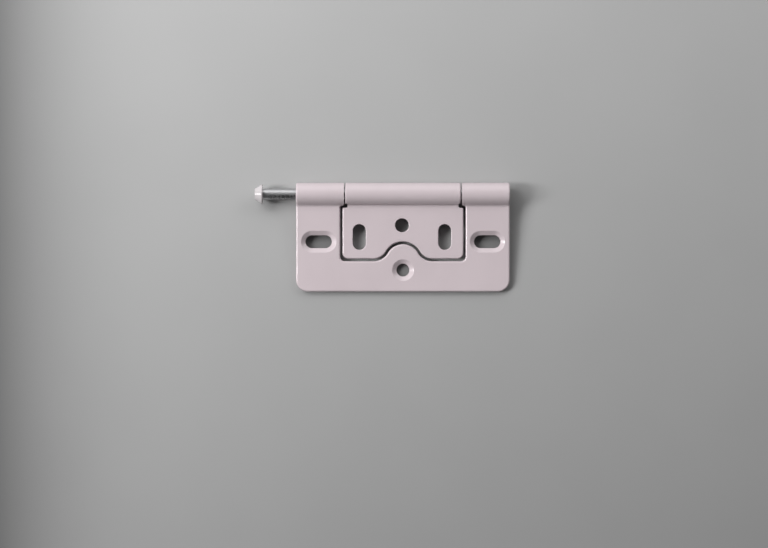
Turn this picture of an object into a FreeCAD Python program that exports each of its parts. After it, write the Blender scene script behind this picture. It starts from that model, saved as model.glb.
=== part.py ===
"""Flush hinge with a loose pin: a wave-cut inner leaf in the window of an outer leaf, the pin partly drawn.

Millimetres. +X runs along the pin, +Y from the leaves to the barrel, +Z up from the back of the outer leaf.
The origin is the centre of the outer leaf's round screw hole, on its back face.
"""

import FreeCAD, Part
import math
import os
from collections import namedtuple

from FreeCAD import Vector

# Sheet and barrel: the leaf is in line with the pin's axis, and a bend leads it into the roll
SHEET = 2.0
BORE_R = 2.05
BARREL_R = BORE_R + SHEET
ROLL_R = BORE_R + SHEET / 2
NECK_R = 2.0
AXIS_Y = 27.05
AXIS_Z = SHEET / 2
PIN_AXIS = Vector(0, AXIS_Y, AXIS_Z)
SEAM_SLIT = 0.15

# Outer leaf, with distances below the pin's axis
LEAF_LENGTH = 76.0
OUTER_BOTTOM = 34.75
OUTER_CORNER_R = 4.25
MIDDLE_KNUCKLE = 41.0
KNUCKLE_GAP = 0.45
STEP_BELOW = 4.15
STEP_CORNER_R = 0.75
STEP_ROOT_R = 0.7
OUTER_EDGE_R = 0.6

# Inner leaf and the gap round it
INNER_WIDTH = 43.0
INNER_BOTTOM = 23.0
INNER_CORNER_R = 2.1
SHOULDER_BELOW = 4.85
SHOULDER_R = 0.6
INNER_EDGE_R = 0.45
SIDE_GAP = 0.8
WAVE_GAP = 0.9
WINDOW_CORNER_R = 1.7
NOTCH_HALF = 19.75
NOTCH_TOP = 3.4
NOTCH_R = 0.3

# Wave along the middle of the gap: a top arc and two reversed toe arcs that meet on a slope
WAVE_TOP_R = 6.55
WAVE_TOE_R = 5.55
WAVE_SLOPE = 60.0

# Screw holes: sunk from the top face of the outer leaf and from the back of the inner leaf
SLOT_R = 2.3
OUTER_SLOT_LENGTH = 9.4
OUTER_SLOT_X = 30.0
OUTER_SLOT_BELOW = 16.95
OUTER_HOLE_R = 2.3
INNER_SLOT_LENGTH = 9.1
INNER_SLOT_X = 15.2
INNER_HOLE_SHIFT = -0.3
INNER_SLOT_BELOW = 15.3
INNER_HOLE_R = 2.45
INNER_HOLE_BELOW = 11.15
SINK_WIDTH = 1.55
SINK_DEPTH = 1.05
OUTER_RIM_R = 0.5
INNER_RIM_R = 0.25

# Pin, drawn out to the left
PIN_R = 1.96
PIN_LENGTH = 74.5
PIN_DRAWN = 11.9
TIP_CHAMFER = 0.9
GRIP_R = 2.01
GRIP_START = 2.1
GRIP_LENGTH = 9.6
GRIP_CHAMFER = 0.3

# Button head on the pin
CAP_R = 3.4
CAP_RIM = 0.45
CAP_CONE = 2.35
CAP_FRONT_R = 2.0
CAP_EDGE_R = 0.3
SPIGOT_R = 1.5
SPIGOT_LENGTH = 1.6

OVERRUN = 2.0
TINY = 1e-6

Hole = namedtuple("Hole", "x y length radius upright")


def below(distance):
    """Place along Y of a line this far below the pin's axis."""
    return AXIS_Y - distance


OUTER_HOLES = [
    Hole(-OUTER_SLOT_X, below(OUTER_SLOT_BELOW), OUTER_SLOT_LENGTH, SLOT_R, False),
    Hole(OUTER_SLOT_X, below(OUTER_SLOT_BELOW), OUTER_SLOT_LENGTH, SLOT_R, False),
    Hole(0, 0, 2 * OUTER_HOLE_R, OUTER_HOLE_R, False),
]
INNER_HOLES = [
    Hole(INNER_HOLE_SHIFT - INNER_SLOT_X, below(INNER_SLOT_BELOW), INNER_SLOT_LENGTH, SLOT_R, True),
    Hole(INNER_HOLE_SHIFT + INNER_SLOT_X, below(INNER_SLOT_BELOW), INNER_SLOT_LENGTH, SLOT_R, True),
    Hole(INNER_HOLE_SHIFT, below(INNER_HOLE_BELOW), 2 * INNER_HOLE_R, INNER_HOLE_R, True),
]


def line(start, end):
    """Straight edge between two points."""
    return Part.LineSegment(start, end).toShape()


def corner_span(before, corner, after):
    """Start, middle and end of the arc that rounds one corner; all three are the corner when it is sharp."""
    point = Vector(corner[0], corner[1], 0)
    radius = corner[2]
    if not radius:
        return point, point, point
    back = (Vector(before[0], before[1], 0) - point).normalize()
    ahead = (Vector(after[0], after[1], 0) - point).normalize()
    half = back.getAngle(ahead) / 2
    reach = radius / math.tan(half)
    inward = (back + ahead).normalize()
    middle = point + inward * (radius / math.sin(half) - radius)
    return point + back * reach, middle, point + ahead * reach


def rounded_wire(corners):
    """Closed plan outline through corners (x, y, radius), each rounded by a tangent arc."""
    count = len(corners)
    spans = [corner_span(corners[i - 1], corners[i], corners[(i + 1) % count]) for i in range(count)]
    edges = []
    for i, (start, middle, end) in enumerate(spans):
        following = spans[(i + 1) % count][0]
        if start.distanceToPoint(end) > TINY:
            edges.append(Part.Arc(start, middle, end).toShape())
        if end.distanceToPoint(following) > TINY:
            edges.append(line(end, following))
    return Part.Wire(edges)


def mirrored(left, middle=()):
    """Corners of an outline that is the same on both sides of the middle."""
    right = [(-x, y, radius) for x, y, radius in reversed(left)]
    return left + list(middle) + right


def wave_corners(offset, bottom):
    """Corners of the wave from left to right, moved by an offset from the middle of the gap."""
    top_r = WAVE_TOP_R + offset
    toe_r = WAVE_TOE_R - offset
    slope = math.radians(WAVE_SLOPE)
    flank = toe_r * math.tan(slope / 2) + top_r * math.tan(slope)
    toe_x = flank * math.cos(slope)
    toe_y = below(bottom)
    return [(-toe_x, toe_y, toe_r), (0, toe_y + flank * math.sin(slope), top_r), (toe_x, toe_y, toe_r)]


def prism(wire, low, high):
    """Upright solid on a plan outline, from one height to another."""
    face = Part.Face(wire)
    face.translate(Vector(0, 0, low))
    return face.extrude(Vector(0, 0, high - low))


def tall_prism(corners):
    """Upright solid on a rounded outline, past both the bottom and the top of the barrel."""
    reach = BARREL_R + OVERRUN
    return prism(rounded_wire(corners), AXIS_Z - reach, AXIS_Z + reach)


def along_pin(edges, left, right):
    """Solid of a section across the pin, drawn from one place along it to another."""
    face = Part.Face(Part.Wire(edges))
    face.translate(Vector(left, 0, 0))
    return face.extrude(Vector(right - left, 0, 0))


def circle_point(centre, radius, angle):
    """Point on a circle across the pin, the angle counted in degrees from +Y towards +Z."""
    turn = math.radians(angle)
    return centre + Vector(0, radius * math.cos(turn), radius * math.sin(turn))


def arc(centre, radius, start, end):
    """Arc across the pin between two angles."""
    points = [circle_point(centre, radius, angle) for angle in (start, (start + end) / 2, end)]
    return Part.Arc(*points).toShape()


def rolled_sheet(bottom, width):
    """Flat sheet whose top end dips under the pin and rolls round it, to a thin seam on the sheet's face."""
    dip = math.acos(NECK_R / (NECK_R + ROLL_R))
    neck = Vector(0, below((NECK_R + ROLL_R) * math.sin(dip)), AXIS_Z - NECK_R)
    neck_end = 90 - math.degrees(dip)
    roll_start = 180 + neck_end
    roll_end = 540 - math.degrees(math.asin((SHEET + SEAM_SLIT - AXIS_Z) / BARREL_R))
    under, over = NECK_R - SHEET / 2, NECK_R + SHEET / 2
    back = Vector(0, below(bottom), 0)
    front = Vector(0, below(bottom), SHEET)
    edges = [
        line(back, circle_point(neck, under, 90)),
        arc(neck, under, 90, neck_end),
        arc(PIN_AXIS, BARREL_R, roll_start, roll_end),
        line(circle_point(PIN_AXIS, BARREL_R, roll_end), circle_point(PIN_AXIS, BORE_R, roll_end)),
        arc(PIN_AXIS, BORE_R, roll_end, roll_start),
        arc(neck, over, neck_end, 90),
        line(circle_point(neck, over, 90), front),
        line(front, back),
    ]
    return along_pin(edges, -width / 2, width / 2)


def hole_ends(hole, height):
    """Centres of the two round ends of a slot, at a height; those of a round hole are the same."""
    reach = hole.length / 2 - hole.radius
    along = Vector(0, reach, 0) if hole.upright else Vector(reach, 0, 0)
    centre = Vector(hole.x, hole.y, height)
    return centre - along, centre + along


def hole_wire(hole):
    """Outline of a round hole or a round-ended slot on the leaf's back."""
    near, far = hole_ends(hole, 0)
    if near.distanceToPoint(far) < TINY:
        return Part.Wire(Part.makeCircle(hole.radius, near))
    along = (far - near).normalize() * hole.radius
    side = Vector(-along.y, along.x, 0)
    return Part.Wire([
        line(near - side, far - side),
        Part.Arc(far - side, far + along, far + side).toShape(),
        line(far + side, near + side),
        Part.Arc(near + side, near - along, near - side).toShape(),
    ])


def sink(hole, face, inward):
    """Cutter for the sloping sides of a hole: a cone at each end, and a wedge between the ends of a slot."""
    way = Vector(0, 0, inward)
    near, far = hole_ends(hole, face)
    wide = hole.radius + SINK_WIDTH
    cones = [Part.makeCone(wide, hole.radius, SINK_DEPTH, end, way) for end in (near, far)]
    if near.distanceToPoint(far) < TINY:
        return cones[0]
    side = (far - near).cross(way).normalize()
    floor = near + way * SINK_DEPTH
    corners = [near - side * wide, near + side * wide, floor + side * hole.radius, floor - side * hole.radius]
    wedge = Part.Face(Part.makePolygon(corners + corners[:1])).extrude(far - near)
    return cones[0].multiFuse([cones[1], wedge])


def screw_hole(hole, face, inward):
    """Cutter for one screw hole, sunk from the face at one height, inward being +1 or -1 along Z."""
    return prism(hole_wire(hole), -OVERRUN, SHEET + OVERRUN).fuse(sink(hole, face, inward))


def rim_point(hole, margin, height):
    """Point on the long side of a hole's outline."""
    reach = hole.radius + margin
    if hole.upright:
        return hole.x + reach, hole.y, height
    return hole.x, hole.y + reach, height


def rounded_edges(solid, radius, points):
    """Solid with the edges that pass through these points rounded, and all that run on smoothly from them."""
    edges = []
    for x, y, z in points:
        spot = Part.Vertex(x, y, z)
        edges.append(min(solid.Edges, key=lambda edge: edge.distToShape(spot)[0]))
    return solid.makeFillet(radius, edges).Solids[0]


def outer_blank():
    """Rolled sheet of the outer leaf with its seam at the back, cut to its outline and its window."""
    top = AXIS_Y + BARREL_R + OVERRUN
    half = LEAF_LENGTH / 2
    outline = [(-half, top, 0), (-half, below(OUTER_BOTTOM), OUTER_CORNER_R)]
    knuckle = MIDDLE_KNUCKLE / 2 + KNUCKLE_GAP
    window = INNER_WIDTH / 2 + SIDE_GAP
    bottom = INNER_BOTTOM + WAVE_GAP
    window_left = [
        (-knuckle, top, 0),
        (-knuckle, below(STEP_BELOW), STEP_CORNER_R),
        (-window, below(STEP_BELOW), STEP_ROOT_R),
        (-window, below(bottom), WINDOW_CORNER_R),
    ]
    wave = wave_corners(-WAVE_GAP / 2, bottom)
    sheet = rolled_sheet(OUTER_BOTTOM, LEAF_LENGTH).mirror(PIN_AXIS, Vector(0, 0, 1))
    return sheet.common(tall_prism(mirrored(outline))).cut(tall_prism(mirrored(window_left, wave)))


def outer_leaf():
    """Larger leaf, with the two end knuckles and the holes sunk from the top."""
    leaf = outer_blank()
    for hole in OUTER_HOLES:
        leaf = leaf.cut(screw_hole(hole, SHEET, -1))
    half = LEAF_LENGTH / 2
    window = INNER_WIDTH / 2 + SIDE_GAP
    sides = [(x, below(OUTER_BOTTOM / 2), z) for x in (-half, -window) for z in (0, SHEET)]
    leaf = rounded_edges(leaf.Solids[0], OUTER_EDGE_R, sides)
    return rounded_edges(leaf, OUTER_RIM_R, [rim_point(hole, SINK_WIDTH, SHEET) for hole in OUTER_HOLES])


def relief_notch(side):
    """Cutter for the notch in the corner between the middle knuckle and a shoulder."""
    outer = MIDDLE_KNUCKLE / 2 + OVERRUN
    corners = [
        (side * NOTCH_HALF, below(NOTCH_TOP), NOTCH_R),
        (side * NOTCH_HALF, below(SHOULDER_BELOW), NOTCH_R),
        (side * outer, below(SHOULDER_BELOW), 0),
        (side * outer, below(NOTCH_TOP), 0),
    ]
    return tall_prism(corners)


def inner_blank():
    """Rolled sheet of the inner leaf with its seam on top, cut to its outline."""
    knuckle = MIDDLE_KNUCKLE / 2
    half = INNER_WIDTH / 2
    left = [
        (-knuckle, AXIS_Y + BARREL_R + OVERRUN, 0),
        (-knuckle, below(SHOULDER_BELOW), 0),
        (-half, below(SHOULDER_BELOW), SHOULDER_R),
        (-half, below(INNER_BOTTOM), INNER_CORNER_R),
    ]
    wave = wave_corners(WAVE_GAP / 2, INNER_BOTTOM)
    return rolled_sheet(INNER_BOTTOM, INNER_WIDTH).common(tall_prism(mirrored(left, wave)))


def inner_leaf():
    """Smaller leaf, with the middle knuckle and the holes sunk from the back."""
    leaf = inner_blank()
    for hole in INNER_HOLES:
        leaf = leaf.cut(screw_hole(hole, 0, 1))
    outline = [(-INNER_WIDTH / 2, below(INNER_SLOT_BELOW), z) for z in (0, SHEET)]
    knuckle = MIDDLE_KNUCKLE / 2
    ends = [(x, AXIS_Y + radius, AXIS_Z) for x in (-knuckle, knuckle) for radius in (BORE_R, BARREL_R)]
    leaf = rounded_edges(leaf.Solids[0], INNER_EDGE_R, outline + ends)
    leaf = leaf.cut(relief_notch(-1)).cut(relief_notch(1)).Solids[0]
    rims = [rim_point(hole, 0, SHEET) for hole in INNER_HOLES]
    sinks = [rim_point(hole, SINK_WIDTH, 0) for hole in INNER_HOLES]
    return rounded_edges(leaf, INNER_RIM_R, rims + sinks)


def turned(edges):
    """Solid turned about the pin's axis from the edges of a half section."""
    face = Part.Face(Part.Wire(edges))
    return face.revolve(PIN_AXIS, Vector(1, 0, 0), 360)


def section_points(profile):
    """Points of a half section from (x, radius) pairs."""
    return [Vector(x, AXIS_Y + radius, AXIS_Z) for x, radius in profile]


def hinge_pin(head_x):
    """Steel pin with a spigot for the head, a grip band and a chamfered tip."""
    spigot_x = head_x - SPIGOT_LENGTH
    tip_x = head_x + PIN_LENGTH
    grip_x = head_x + GRIP_START
    grip_end = grip_x + GRIP_LENGTH
    points = section_points([
        (spigot_x, 0),
        (spigot_x, SPIGOT_R),
        (head_x, SPIGOT_R),
        (head_x, PIN_R),
        (grip_x, PIN_R),
        (grip_x + GRIP_CHAMFER, GRIP_R),
        (grip_end - GRIP_CHAMFER, GRIP_R),
        (grip_end, PIN_R),
        (tip_x - TIP_CHAMFER, PIN_R),
        (tip_x, PIN_R - TIP_CHAMFER),
        (tip_x, 0),
    ])
    return turned(Part.makePolygon(points + points[:1]).Edges)


def pin_cap(head_x):
    """Button head that sits over the pin's spigot, a short cone with a flat front."""
    socket_x = head_x - SPIGOT_LENGTH
    rim_x = head_x - CAP_RIM
    front_x = rim_x - CAP_CONE
    points = section_points([
        (socket_x, 0),
        (socket_x, SPIGOT_R),
        (head_x, SPIGOT_R),
        (head_x, CAP_R),
        (rim_x, CAP_R),
        (front_x, CAP_FRONT_R),
        (front_x, 0),
    ])
    cap = turned(Part.makePolygon(points + points[:1]).Edges)
    return rounded_edges(cap, CAP_EDGE_R, [tuple(point) for point in points[3:6]])


def main():
    """Build every piece and write one file for each."""
    head_x = -LEAF_LENGTH / 2 - PIN_DRAWN
    pieces = {
        "outer_leaf": outer_leaf(),
        "inner_leaf": inner_leaf(),
        "hinge_pin": hinge_pin(head_x),
        "pin_cap": pin_cap(head_x),
    }
    os.makedirs("parts", exist_ok=True)
    for name, shape in pieces.items():
        print(name, shape.ShapeType, shape.isValid(), round(shape.Volume, 1))
        shape.exportStep("parts/" + name + ".step")


main()
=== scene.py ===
"""Dressed scene of a flush hinge with a loose pin, lying on a pale grey floor and seen from straight above.

Lengths are metres in the frame of the solids: +X along the pin, +Y from the leaves to the barrel, +Z up.
"""

import logging
import math
from dataclasses import dataclass, field
from enum import Enum

import bmesh
import bpy
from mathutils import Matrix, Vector, noise

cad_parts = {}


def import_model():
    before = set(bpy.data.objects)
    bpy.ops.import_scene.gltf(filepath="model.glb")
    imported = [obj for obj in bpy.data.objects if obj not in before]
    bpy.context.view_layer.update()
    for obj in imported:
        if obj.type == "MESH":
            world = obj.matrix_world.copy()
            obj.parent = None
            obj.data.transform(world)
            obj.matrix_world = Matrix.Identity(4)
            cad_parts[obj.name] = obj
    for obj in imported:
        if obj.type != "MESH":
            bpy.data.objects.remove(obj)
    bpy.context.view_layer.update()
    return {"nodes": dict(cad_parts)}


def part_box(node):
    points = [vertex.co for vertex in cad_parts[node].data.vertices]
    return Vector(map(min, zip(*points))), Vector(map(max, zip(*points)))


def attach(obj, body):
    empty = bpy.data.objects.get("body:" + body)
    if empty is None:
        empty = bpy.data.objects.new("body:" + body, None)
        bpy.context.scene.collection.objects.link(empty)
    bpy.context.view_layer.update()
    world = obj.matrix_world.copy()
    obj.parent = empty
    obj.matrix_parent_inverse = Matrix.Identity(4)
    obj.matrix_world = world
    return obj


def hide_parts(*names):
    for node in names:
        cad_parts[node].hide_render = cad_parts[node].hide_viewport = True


LOG = logging.getLogger("hinge_scene")
MM = 0.001

Colour = tuple[float, float, float]

BLACK: Colour = (0.0, 0.0, 0.0)
WHITE: Colour = (1.0, 1.0, 1.0)
LEAF_COLOUR: Colour = (0.57, 0.495, 0.52)
HEAD_COLOUR: Colour = (0.52, 0.49, 0.50)
FLOOR_COLOUR: Colour = (0.474, 0.474, 0.474)
# Painted shade: dark grey of the pads that darken the floor seen through the outer leaf's holes.
HOLE_SHADE_COLOUR: Colour = (0.165, 0.165, 0.165)

# Range that a cloudy pattern keeps to.
CLOUD_LOW, CLOUD_HIGH = 0.3, 0.7

# Places of the colours and of their blend among the sockets of a Mix node.
MIX_FIRST, MIX_SECOND, MIX_RESULT = 6, 7, 2


class Axis(Enum):
    """Ways to draw a texture out, as the scale of each coordinate."""

    NONE = (1.0, 1.0, 1.0)
    ALONG_PIN = (0.04, 1.0, 1.0)


class Pace(Enum):
    """Ways for a ramp to go from its low to its high value."""

    EVEN = "LINEAR"
    EASED = "SMOOTHSTEP"


class NodeSheet:
    """Shorthand for laying out the shader nodes of one material."""

    def __init__(self, name: str) -> None:
        """Start a material with a shader wired to its output.

        Args:
            name: Name of the material.
        """
        self.material = bpy.data.materials.new(name)
        self.material.use_nodes = True
        self.tree = self.material.node_tree
        self.shader = self.tree.nodes["Principled BSDF"]
        self.place = self.tree.nodes.new("ShaderNodeTexCoord").outputs["Object"]

    def link(self, source: bpy.types.NodeSocket, target: bpy.types.NodeSocket) -> None:
        """Wire one socket to another."""
        self.tree.links.new(source, target)

    def stretched(self, axis: Axis) -> bpy.types.NodeSocket:
        """Place on the surface, with one direction drawn out.

        Args:
            axis: Direction that is drawn out.

        Returns:
            Socket with the place.
        """
        mapping = self.tree.nodes.new("ShaderNodeMapping")
        mapping.inputs["Scale"].default_value = axis.value
        self.link(self.place, mapping.inputs["Vector"])
        return mapping.outputs["Vector"]

    def noise(self, grain: float, detail: float = 2.0, axis: Axis = Axis.NONE) -> bpy.types.NodeSocket:
        """Cloudy pattern.

        Args:
            grain: Size of the clouds, in metres.
            detail: Octaves of finer clouds in them.
            axis: Direction that the clouds are drawn out along.

        Returns:
            Socket with values round a half.
        """
        texture = self.tree.nodes.new("ShaderNodeTexNoise")
        texture.inputs["Scale"].default_value = 1 / grain
        texture.inputs["Detail"].default_value = detail
        self.link(self.stretched(axis), texture.inputs["Vector"])
        return texture.outputs["Fac"]

    def ramp(self, value: bpy.types.NodeSocket, start: float, end: float, low: float, high: float,
             pace: Pace = Pace.EASED) -> bpy.types.NodeSocket:
        """Value carried from one range to another, and held past its ends.

        Args:
            value: Socket that is read.
            start: Value that gives low.
            end: Value that gives high.
            low: Result at the start.
            high: Result at the end.
            pace: How the result goes from low to high.

        Returns:
            Socket with the result.
        """
        node = self.tree.nodes.new("ShaderNodeMapRange")
        node.interpolation_type = pace.value
        for name, number in (("From Min", start), ("From Max", end), ("To Min", low), ("To Max", high)):
            node.inputs[name].default_value = number
        self.link(value, node.inputs["Value"])
        return node.outputs["Result"]

    def spread(self, clouds: bpy.types.NodeSocket, low: float, high: float) -> bpy.types.NodeSocket:
        """Cloudy pattern carried to another range."""
        return self.ramp(clouds, CLOUD_LOW, CLOUD_HIGH, low, high)

    def math(self, operation: str, first: bpy.types.NodeSocket,
             second: bpy.types.NodeSocket | float) -> bpy.types.NodeSocket:
        """Sum on two values.

        Args:
            operation: Blender's name of the sum.
            first: Socket with the first value.
            second: Number, or the socket with the second value.

        Returns:
            Socket with the result.
        """
        node = self.tree.nodes.new("ShaderNodeMath")
        node.operation = operation
        self.link(first, node.inputs[0])
        if isinstance(second, bpy.types.NodeSocket):
            self.link(second, node.inputs[1])
        else:
            node.inputs[1].default_value = second
        return node.outputs["Value"]

    def blend(self, share: bpy.types.NodeSocket, first: bpy.types.NodeSocket | Colour,
              second: bpy.types.NodeSocket | Colour) -> bpy.types.NodeSocket:
        """Colour between two others.

        Args:
            share: Socket with the share of the second colour.
            first: Colour, or the socket that gives it.
            second: Colour, or the socket that gives it.

        Returns:
            Socket with the blended colour.
        """
        node = self.tree.nodes.new("ShaderNodeMix")
        node.data_type = "RGBA"
        self.link(share, node.inputs["Factor"])
        for socket, colour in ((node.inputs[MIX_FIRST], first), (node.inputs[MIX_SECOND], second)):
            if isinstance(colour, bpy.types.NodeSocket):
                self.link(colour, socket)
            else:
                socket.default_value = (*colour, 1.0)
        return node.outputs[MIX_RESULT]

    def along(self, name: str) -> bpy.types.NodeSocket:
        """One coordinate of the place on the surface.

        Args:
            name: Name of the coordinate, X, Y or Z.

        Returns:
            Socket with the coordinate, in metres.
        """
        node = self.tree.nodes.new("ShaderNodeSeparateXYZ")
        self.link(self.place, node.inputs["Vector"])
        return node.outputs[name]

    def axis_distance(self, axis_y: float, axis_z: float) -> bpy.types.NodeSocket:
        """Distance from a line along X.

        Args:
            axis_y: Place of the line on Y.
            axis_z: Place of the line on Z.

        Returns:
            Socket with the distance, in metres.
        """
        node = self.tree.nodes.new("ShaderNodeVectorMath")
        node.operation = "MULTIPLY_ADD"
        node.inputs[1].default_value = (0.0, 1.0, 1.0)
        node.inputs[2].default_value = (0.0, -axis_y, -axis_z)
        self.link(self.place, node.inputs[0])
        length = self.tree.nodes.new("ShaderNodeVectorMath")
        length.operation = "LENGTH"
        self.link(node.outputs["Vector"], length.inputs[0])
        return length.outputs["Value"]

    def bump(self, height: bpy.types.NodeSocket, depth: float) -> None:
        """Raise the surface by a pattern.

        Args:
            height: Socket with the pattern, from 0 to 1.
            depth: Height of the pattern, in metres.
        """
        node = self.tree.nodes.new("ShaderNodeBump")
        node.inputs["Strength"].default_value = 1.0
        node.inputs["Distance"].default_value = depth
        self.link(height, node.inputs["Height"])
        self.link(node.outputs["Normal"], self.shader.inputs["Normal"])


def shade_of(colour: Colour, factor: float) -> Colour:
    """Colour made lighter or darker by a factor."""
    return tuple(channel * factor for channel in colour)


@dataclass(frozen=True)
class DrawnSteel:
    """Bright drawn steel with fine lines along it and dull scuffs; the grip has a painted dark reflection,
    broken into patches, on one side.
    """

    name: str = "pin_steel"
    colour: Colour = (0.50, 0.50, 0.51)
    dull_colour: Colour = (0.40, 0.40, 0.41)
    # Painted dark reflection on the side of the grip towards the leaves: its colour, grain, patches and
    # reach.
    painted_band_colour: Colour = (0.20, 0.20, 0.205)
    roughness: float = 0.40
    dull_roughness: float = 0.48
    line_grain: float = 0.12 * MM
    line_depth: float = 0.002 * MM
    scuff_grain: float = 1.6 * MM
    scuff_start: float = 1.05
    scuff_full: float = 1.35
    painted_band_grain: float = 0.75 * MM
    patch_start: float = 0.58
    patch_full: float = 0.42
    painted_band_start: float = 0.15 * MM
    painted_band_full: float = 0.60 * MM
    painted_band_least: float = 0.25
    painted_band_left: float = -47.8 * MM
    painted_band_right: float = -38.2 * MM
    painted_band_fade: float = 0.3 * MM
    axis_y: float = 0.0

    def painted_dark_band(self, sheet: NodeSheet) -> bpy.types.NodeSocket:
        """Lay out the painted dark reflection on the grip, in patches and only on the side of the leaves.

        Args:
            sheet: Sheet of the material.

        Returns:
            Socket that is 1 where the painted dark reflection is full and 0 where the steel is left bright.
        """
        start, full = self.axis_y - self.painted_band_start, self.axis_y - self.painted_band_full
        side = sheet.ramp(sheet.along("Y"), start, full, 0.0, 1.0)
        clouds = sheet.noise(self.painted_band_grain, detail=3.0)
        patches = sheet.ramp(clouds, self.patch_start, self.patch_full, self.painted_band_least, 1.0)
        along, fade = sheet.along("X"), self.painted_band_fade
        left = sheet.ramp(along, self.painted_band_left - fade, self.painted_band_left + fade, 0.0, 1.0)
        right = sheet.ramp(along, self.painted_band_right - fade, self.painted_band_right + fade, 1.0, 0.0)
        grip = sheet.math("MULTIPLY", left, right)
        return sheet.math("MULTIPLY", sheet.math("MULTIPLY", side, patches), grip)

    def material(self) -> bpy.types.Material:
        """Lay out the bare steel.

        Returns:
            Material of the shaft.
        """
        sheet = NodeSheet(self.name)
        lines = sheet.noise(self.line_grain, detail=3.0, axis=Axis.ALONG_PIN)
        scuffs = sheet.noise(self.scuff_grain, detail=4.0)
        dull = sheet.ramp(sheet.math("ADD", scuffs, lines), self.scuff_start, self.scuff_full, 0.0, 1.0)
        bright = sheet.blend(dull, self.colour, self.dull_colour)
        # The painted dark reflection is blended over the steel's own colour.
        sheet.link(sheet.blend(self.painted_dark_band(sheet), bright, self.painted_band_colour), sheet.shader.inputs["Base Color"])
        rough = sheet.ramp(dull, 0.0, 1.0, self.roughness, self.dull_roughness)
        sheet.link(rough, sheet.shader.inputs["Roughness"])
        sheet.shader.inputs["Metallic"].default_value = 1.0
        sheet.bump(lines, self.line_depth)
        return sheet.material


@dataclass(frozen=True)
class SatinCoat:
    """Stoved satin coat on steel, with a faint ripple and a little cloudiness."""

    name: str
    colour: Colour
    roughness: float = 0.18
    cloud_grain: float = 16 * MM
    cloud_shade: float = 0.02
    ripple_grain: float = 1.3 * MM
    ripple_depth: float = 0.002 * MM
    roughness_spread: float = 0.02

    def film(self, sheet: NodeSheet) -> tuple[bpy.types.NodeSocket, bpy.types.NodeSocket]:
        """Lay out the film and its ripple.

        Args:
            sheet: Sheet of the material.

        Returns:
            Sockets with the film's colour and its roughness.
        """
        clouds = sheet.spread(sheet.noise(self.cloud_grain, detail=3.0), 0.0, 1.0)
        dark, light = shade_of(self.colour, 1 - self.cloud_shade), shade_of(self.colour, 1 + self.cloud_shade)
        colour = sheet.blend(clouds, dark, light)
        ripple = sheet.noise(self.ripple_grain, detail=1.0)
        sheet.bump(ripple, self.ripple_depth)
        low, high = self.roughness - self.roughness_spread, self.roughness + self.roughness_spread
        return colour, sheet.spread(ripple, low, high)

    def material(self) -> bpy.types.Material:
        """Lay out a coat with no bare spot.

        Returns:
            Material of a piece that is coated all over.
        """
        sheet = NodeSheet(self.name)
        colour, rough = self.film(sheet)
        sheet.link(colour, sheet.shader.inputs["Base Color"])
        sheet.link(rough, sheet.shader.inputs["Roughness"])
        return sheet.material


@dataclass(frozen=True)
class BoredCoat(SatinCoat):
    """Satin coat that stops at the mouth of the barrel's bore, where bare steel shows."""

    steel: DrawnSteel = DrawnSteel()
    bore_radius: float = 2.05 * MM
    bare_rim: float = 0.12 * MM
    axis_y: float = 0.0
    axis_z: float = 0.0

    def material(self) -> bpy.types.Material:
        """Lay out the coat and the bare bore.

        Returns:
            Material of a leaf.
        """
        sheet = NodeSheet(self.name)
        colour, rough = self.film(sheet)
        radius = sheet.axis_distance(self.axis_y, self.axis_z)
        edge = self.bore_radius + self.bare_rim
        bare = sheet.ramp(radius, edge, edge + self.bare_rim, 1.0, 0.0)
        sheet.link(sheet.blend(bare, colour, self.steel.dull_colour), sheet.shader.inputs["Base Color"])
        dulled = sheet.math("MAXIMUM", rough, sheet.ramp(bare, 0.0, 1.0, 0.0, self.steel.dull_roughness))
        sheet.link(dulled, sheet.shader.inputs["Roughness"])
        sheet.link(bare, sheet.shader.inputs["Metallic"])
        return sheet.material


@dataclass(frozen=True)
class MattBoard:
    """Plain matt grey board, a little cloudy."""

    name: str
    colour: Colour
    cloud_shade: float = 0.01
    cloud_grain: float = 40 * MM
    roughness: float = 0.8

    def tone(self, sheet: NodeSheet) -> bpy.types.NodeSocket:
        """Lay out the board's clouds.

        Args:
            sheet: Sheet of the material.

        Returns:
            Socket with the board's colour.
        """
        clouds = sheet.spread(sheet.noise(self.cloud_grain), 0.0, 1.0)
        dark, light = shade_of(self.colour, 1 - self.cloud_shade), shade_of(self.colour, 1 + self.cloud_shade)
        return sheet.blend(clouds, dark, light)

    def material(self) -> bpy.types.Material:
        """Lay out the board.

        Returns:
            Material of the board.
        """
        sheet = NodeSheet(self.name)
        sheet.link(self.tone(sheet), sheet.shader.inputs["Base Color"])
        sheet.shader.inputs["Roughness"].default_value = self.roughness
        return sheet.material


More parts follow.
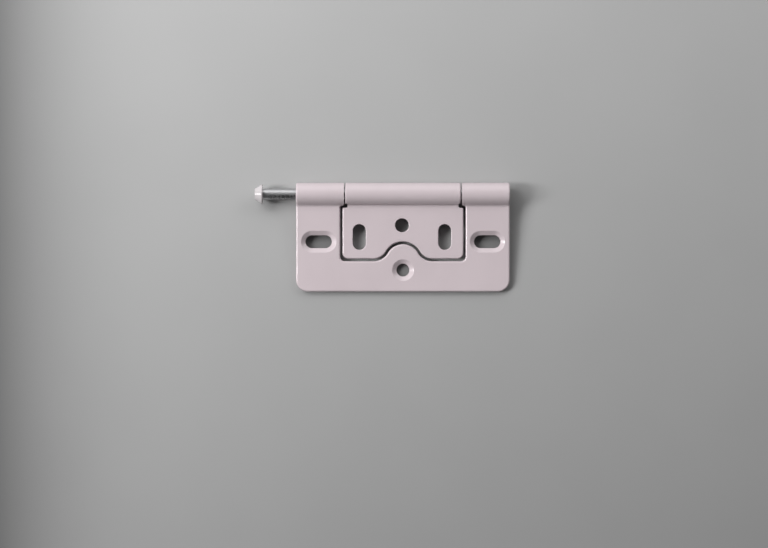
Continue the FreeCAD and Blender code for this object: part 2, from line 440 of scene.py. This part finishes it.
@dataclass(frozen=True)
class FalloffShadedBoard(MattBoard):
    """Matt board with painted shade of the light's falloff: it darkens evenly to the right and to the front,
    and ever faster to the left.
    """

    left_end: float = -146.8 * MM
    left_full: float = -61.5 * MM
    left_shade: float = 0.318
    left_power: float = 3.0
    right_start: float = -165 * MM
    right_end: float = 125 * MM
    right_shade: float = 0.843
    back_end: float = 95 * MM
    front_end: float = -96 * MM
    front_shade: float = 0.668

    def tone(self, sheet: NodeSheet) -> bpy.types.NodeSocket:
        """Lay out the board's clouds, with painted shade of the light's falloff towards its ends.

        Args:
            sheet: Sheet of the material.

        Returns:
            Socket with the board's colour.
        """
        # Painted shade: the light's falloff towards the left, right and front of the frame.
        across, deep = sheet.along("X"), sheet.along("Y")
        way_left = sheet.ramp(across, self.left_full, self.left_end, 0.0, 1.0, Pace.EVEN)
        fall = sheet.math("POWER", way_left, self.left_power)
        left = sheet.ramp(fall, 0.0, 1.0, 1.0, self.left_shade, Pace.EVEN)
        right = sheet.ramp(across, self.right_start, self.right_end, 1.0, self.right_shade, Pace.EVEN)
        front = sheet.ramp(deep, self.front_end, self.back_end, self.front_shade, 1.0, Pace.EVEN)
        shade = sheet.math("MULTIPLY", sheet.math("MULTIPLY", left, right), front)
        return sheet.blend(shade, BLACK, super().tone(sheet))


def dress(piece: bpy.types.Object, material: bpy.types.Material) -> None:
    """Give a piece one material in place of what it has."""
    piece.data.materials.clear()
    piece.data.materials.append(material)


@dataclass
class Leaves:
    """The two coated leaves, whose shapes are those of the solids."""

    nodes: dict[str, bpy.types.Object]
    finish: SatinCoat
    names: tuple[str, ...] = ("outer_leaf", "inner_leaf")

    def build(self) -> list[bpy.types.Object]:
        """Coat both leaves.

        Returns:
            The leaves.
        """
        material = self.finish.material()
        leaves = [self.nodes[name] for name in self.names]
        for leaf in leaves:
            dress(leaf, material)
        return leaves


@dataclass
class LoosePin:
    """The bare shaft with its knurled grip, and the coated button head."""

    nodes: dict[str, bpy.types.Object]
    steel: DrawnSteel
    coat: SatinCoat
    body: str = "pin"
    shaft_node: str = "hinge_pin"
    head_node: str = "pin_cap"
    radius: float = 1.96 * MM
    spigot_radius: float = 1.5 * MM
    spigot_length: float = 1.6 * MM
    tip_chamfer: float = 0.9 * MM
    grip_start: float = 2.1 * MM
    grip_length: float = 9.6 * MM
    grip_crest: float = 0.02 * MM
    grip_groove: float = 0.02 * MM
    grip_fade: float = 0.5 * MM
    knurl_starts: int = 12
    knurl_lead: float = 30.0 * MM
    wear_grain: float = 1.1 * MM
    wear_level: float = 0.75
    wear_spread: float = 0.5
    segments: int = 144
    ring_step: float = 0.1 * MM
    sharp_angle: float = 40.0
    low: Vector = field(init=False)
    high: Vector = field(init=False)

    def __post_init__(self) -> None:
        """Read where the shaft lies."""
        self.low, self.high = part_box(self.shaft_node)

    def knurl(self, along: float, angle: float) -> float:
        """Height of the knurl over the plain shaft.

        Args:
            along: Distance from the head's underside.
            angle: Angle round the shaft.

        Returns:
            Height in metres, below zero in the grooves and zero off the grip.
        """
        into = min(along - self.grip_start, self.grip_start + self.grip_length - along)
        if into <= 0:
            return 0.0
        turn = along / self.knurl_lead * 2 * math.pi
        ridges = [abs(math.sin(self.knurl_starts / 2 * (angle + side * turn))) for side in (-1, 1)]
        height = -self.grip_groove + (self.grip_crest + self.grip_groove) * min(ridges)
        spot = Vector((along, self.radius * math.cos(angle), self.radius * math.sin(angle)))
        wear = self.wear_level + self.wear_spread * noise.noise(spot / self.wear_grain)
        return height * min(1.0, into / self.grip_fade) * min(1.0, wear)

    def rings(self) -> list[tuple[float, float]]:
        """Set out the rings of points that the shaft is made of.

        Returns:
            Place along X and plain radius of each ring, from the spigot to the tip.
        """
        head = self.low.x + self.spigot_length
        start, end = head + self.grip_start, head + self.grip_start + self.grip_length
        steps = round(self.grip_length / self.ring_step)
        grip = [(start + (end - start) * i / steps, self.radius) for i in range(steps + 1)]
        spigot = [(self.low.x, self.spigot_radius), (head, self.spigot_radius), (head, self.radius)]
        tip = [(self.high.x - self.tip_chamfer, self.radius), (self.high.x, self.radius - self.tip_chamfer)]
        return spigot + grip + tip

    def shaft(self) -> bpy.types.Object:
        """Make the shaft where the plain solid lies.

        Returns:
            The shaft, without its finish.
        """
        centre = (self.low + self.high) / 2
        head = self.low.x + self.spigot_length
        angles = [2 * math.pi * i / self.segments for i in range(self.segments)]
        mesh = bmesh.new()
        loops = []
        for x, radius in self.rings():
            loop = []
            for angle in angles:
                reach = radius + self.knurl(x - head, angle)
                spot = (x, centre.y + reach * math.cos(angle), centre.z + reach * math.sin(angle))
                loop.append(mesh.verts.new(spot))
            loops.append(loop)
        for first, second in zip(loops, loops[1:]):
            for i in range(self.segments):
                j = (i + 1) % self.segments
                mesh.faces.new((first[i], first[j], second[j], second[i]))
        mesh.faces.new(loops[0][::-1])
        mesh.faces.new(loops[-1])
        bmesh.ops.recalc_face_normals(mesh, faces=mesh.faces)
        data = bpy.data.meshes.new("pin_shaft")
        mesh.to_mesh(data)
        mesh.free()
        data.shade_smooth()
        data.set_sharp_from_angle(angle=math.radians(self.sharp_angle))
        piece = bpy.data.objects.new("pin_shaft", data)
        bpy.context.scene.collection.objects.link(piece)
        return piece

    def build(self) -> list[bpy.types.Object]:
        """Make the shaft and coat the head.

        Returns:
            The shaft and the head.
        """
        shaft = self.shaft()
        dress(shaft, self.steel.material())
        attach(shaft, self.body)
        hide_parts(self.shaft_node)
        head = self.nodes[self.head_node]
        dress(head, self.coat.material())
        return [shaft, head]


@dataclass
class Stage:
    """Floor that the hinge lies on, with a dark pad of painted shade under each hole of the outer leaf.

    The floor falls from the leaf's front edge to the underside of the barrel.
    """

    board: MattBoard
    hole_shade: MattBoard
    leaf_low: Vector
    axis: Vector
    half_side: float = 8.0
    drop: float = 0.03 * MM
    edge_round: float = 0.7 * MM
    run_out: float = 2.0 * MM
    pad_lift: float = 0.02 * MM
    pad_half: tuple[float, float] = (5.4 * MM, 3.0 * MM)
    pad_places: tuple[tuple[float, float], ...] = ((-30 * MM, 10.1 * MM), (30 * MM, 10.1 * MM), (0.0, 0.0))

    def profile(self) -> list[tuple[float, float]]:
        """Set out the lines at which the floor's slope changes, and its two ends.

        Returns:
            Place along Y and height of each line, from the front end to the back end.
        """
        front = Vector((self.leaf_low.y + self.edge_round, -self.drop))
        away = self.axis.yz - front
        barrel_radius = self.axis.z - self.leaf_low.z
        # The slope is that of the line from under the front edge that just touches the barrel's underside.
        fall = math.asin((barrel_radius + self.drop) / away.length) - math.atan2(away.y, away.x)
        back = self.axis.y + self.run_out
        back_z = front.y - math.tan(fall) * (back - front.x)
        return [(-self.half_side, front.y), tuple(front), (back, back_z), (self.half_side, back_z)]

    def sheet(self, finish: MattBoard, strips: list[list[Vector]]) -> bpy.types.Object:
        """Lay one sheet, shaded as a flat one.

        Args:
            finish: Finish of the sheet, which also names it.
            strips: Corners of each face of the sheet.

        Returns:
            The sheet.
        """
        mesh = bmesh.new()
        for corners in strips:
            mesh.faces.new([mesh.verts.new(corner) for corner in corners])
        data = bpy.data.meshes.new(finish.name)
        mesh.to_mesh(data)
        mesh.free()
        data.shade_smooth()
        data.normals_split_custom_set_from_vertices([(0.0, 0.0, 1.0)] * len(data.vertices))
        laid = bpy.data.objects.new(finish.name, data)
        bpy.context.scene.collection.objects.link(laid)
        dress(laid, finish.material())
        return laid

    def build(self) -> list[bpy.types.Object]:
        """Lay the floor and the pads of painted shade.

        Returns:
            The floor and the pads.
        """
        lines = self.profile()
        side = self.half_side
        floor = [
            [Vector((-side, *near)), Vector((side, *near)), Vector((side, *far)), Vector((-side, *far))]
            for near, far in zip(lines, lines[1:])
        ]
        (front, front_z), (back, back_z) = lines[1:3]
        slope = (back_z - front_z) / (back - front)
        half_x, half_y = self.pad_half
        # Pads of painted shade, hidden under the outer leaf, darken the floor seen through its holes.
        pads = []
        for x, y in self.pad_places:
            spots = [(x + i * half_x, y + j * half_y) for i, j in ((-1, -1), (1, -1), (1, 1), (-1, 1))]
            pads.append([Vector((a, b, front_z + slope * (b - front) + self.pad_lift)) for a, b in spots])
        return [self.sheet(self.board, floor), self.sheet(self.hole_shade, pads)]


@dataclass(frozen=True)
class SoftBox:
    """Rectangular lamp that faces the hinge.

    The azimuth is counted from +X towards +Y, and the elevation from the floor, both in degrees.
    """

    name: str
    azimuth: float
    elevation: float
    distance: float
    width: float
    height: float
    power: float

    def build(self, target: Vector) -> bpy.types.Object:
        """Hang the lamp.

        Args:
            target: Point that it faces.

        Returns:
            The lamp.
        """
        data = bpy.data.lights.new(self.name, "AREA")
        data.shape = "RECTANGLE"
        data.size, data.size_y = self.width, self.height
        data.energy = self.power
        around, up = math.radians(self.azimuth), math.radians(self.elevation)
        way = Vector((math.cos(up) * math.cos(around), math.cos(up) * math.sin(around), math.sin(up)))
        lamp = bpy.data.objects.new(self.name, data)
        lamp.location = target + way * self.distance
        lamp.rotation_euler = way.to_track_quat("Z", "Y").to_euler()
        bpy.context.scene.collection.objects.link(lamp)
        return lamp


@dataclass
class Studio:
    """Lamps and the dim room round them, paler along its horizon."""

    boxes: tuple[SoftBox, ...] = (
        SoftBox("key_box", azimuth=179, elevation=36, distance=1.2, width=0.24, height=0.46, power=9.8),
        SoftBox("wing_box", azimuth=147, elevation=42, distance=1.2, width=0.60, height=0.41, power=6.2),
        SoftBox("corner_box", azimuth=120, elevation=40, distance=3.0, width=1.50, height=1.08, power=11.7),
        SoftBox("back_box", azimuth=90, elevation=24, distance=3.0, width=2.40, height=3.00, power=27.0),
        SoftBox("side_box", azimuth=40, elevation=31, distance=3.0, width=1.80, height=1.08, power=18.0),
    )
    room_level: float = 0.08
    horizon_level: float = 0.45
    horizon_top: float = 0.16

    def build(self, target: Vector) -> None:
        """Hang the lamps and set the room's own light.

        Args:
            target: Point that the lamps face.
        """
        for box in self.boxes:
            box.build(target)
        self.build_room()

    def build_room(self) -> None:
        """Set the room's own light, which fades from the horizon up."""
        world = bpy.data.worlds.new("room")
        world.use_nodes = True
        bpy.context.scene.world = world
        tree = world.node_tree
        background = tree.nodes["Background"]
        background.inputs["Color"].default_value = (*WHITE, 1.0)
        split, fade = tree.nodes.new("ShaderNodeSeparateXYZ"), tree.nodes.new("ShaderNodeMapRange")
        fade.interpolation_type = Pace.EASED.value
        fade.inputs["From Max"].default_value = self.horizon_top
        fade.inputs["To Min"].default_value = self.horizon_level
        fade.inputs["To Max"].default_value = self.room_level
        tree.links.new(tree.nodes.new("ShaderNodeTexCoord").outputs["Generated"], split.inputs["Vector"])
        tree.links.new(split.outputs["Z"], fade.inputs["Value"])
        tree.links.new(fade.outputs["Result"], background.inputs["Strength"])


@dataclass
class PhotoCamera:
    """Camera that looks straight down, with +Y at the top of the picture.

    A pixel has its stated size on the plane of the leaves' upper faces.
    """

    centre_x: float = -6.74 * MM
    centre_y: float = -1.40 * MM
    plane_z: float = 2.0 * MM
    height: float = 1.0
    pixels_wide: int = 768
    pixel: float = 0.3556 * MM
    sensor: float = 36.0
    clip_near: float = 0.01
    clip_far: float = 20.0

    def build(self) -> bpy.types.Object:
        """Set up the camera.

        Returns:
            The camera.
        """
        data = bpy.data.cameras.new("photo_camera")
        data.sensor_width = self.sensor
        data.lens = self.sensor * (self.height - self.plane_z) / (self.pixels_wide * self.pixel)
        data.clip_start, data.clip_end = self.clip_near, self.clip_far
        camera = bpy.data.objects.new("photo_camera", data)
        camera.location = (self.centre_x, self.centre_y, self.height)
        bpy.context.scene.collection.objects.link(camera)
        bpy.context.scene.camera = camera
        return camera


def main() -> None:
    """Build the dressed hinge, its floor, its light and its camera, and report each piece."""
    logging.basicConfig(level=logging.INFO, format="%(message)s")
    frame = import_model()
    bpy.context.scene.view_settings.view_transform = "Standard"
    shaft_low, shaft_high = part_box("hinge_pin")
    axis = (shaft_low + shaft_high) / 2
    steel = DrawnSteel(axis_y=axis.y)
    leaf_coat = BoredCoat("leaf_coat", LEAF_COLOUR, steel=steel, axis_y=axis.y, axis_z=axis.z)
    cap_coat = SatinCoat("cap_coat", HEAD_COLOUR)
    pieces = Leaves(frame["nodes"], leaf_coat).build()
    pieces += LoosePin(frame["nodes"], steel, cap_coat).build()
    for piece in pieces:
        LOG.info("%s: %d faces", piece.name, len(piece.data.polygons))
    leaf_low, leaf_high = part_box("outer_leaf")
    # The floor board carries painted shade of the light's falloff; the pads carry painted shade under the
    # outer leaf's holes.
    board, hole_shade = FalloffShadedBoard("floor_board", FLOOR_COLOUR), MattBoard("hole_shade_pad", HOLE_SHADE_COLOUR)
    Stage(board, hole_shade, leaf_low, axis).build()
    Studio().build((leaf_low + leaf_high) / 2)
    PhotoCamera().build()


if __name__ == "__main__":
    main()
